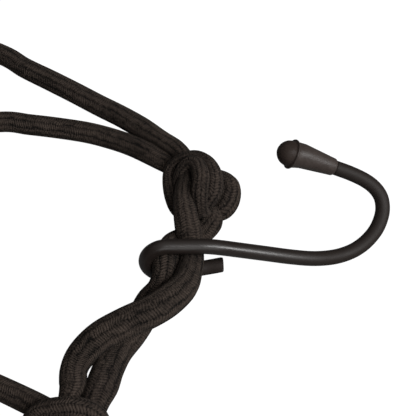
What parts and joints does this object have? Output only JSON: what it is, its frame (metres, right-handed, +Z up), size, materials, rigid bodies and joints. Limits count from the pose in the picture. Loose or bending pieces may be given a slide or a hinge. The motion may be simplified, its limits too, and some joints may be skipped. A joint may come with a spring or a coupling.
{
  "type": "cargo net",
  "caption": "Flat knotted net of braided elastic cord with doubled, twisted side cords and coated wire hooks with rubber tips, for holding a load on a rack",
  "frame": {"origin": "centre of the net on the floor, under the middle of the bounding box", "axes": "+Z up, +X along the rows towards the right-hand row of hooks, +Y along the columns"},
  "size_m": [0.42, 0.3506, 0.0186],
  "materials": {
    "cord": "black braided polyester sleeve over an elastic core, fine slanting ribs, dull sheen",
    "wire_coating": "black dip coating on steel wire, satin to glossy",
    "cap_rubber": "moulded black rubber, dull, with a moulded flange"
  },
  "bodies": {
    "root": {"net": "cord", "hook_wire_1": "wire_coating", "hook_wire_2": "wire_coating", "hook_wire_3": "wire_coating", "hook_wire_4": "wire_coating", "hook_wire_5": "wire_coating", "hook_wire_6": "wire_coating", "hook_cap_1": "cap_rubber", "hook_cap_2": "cap_rubber", "hook_cap_3": "cap_rubber", "hook_cap_4": "cap_rubber", "hook_cap_5": "cap_rubber", "hook_cap_6": "cap_rubber"}
  },
  "joints": []
}
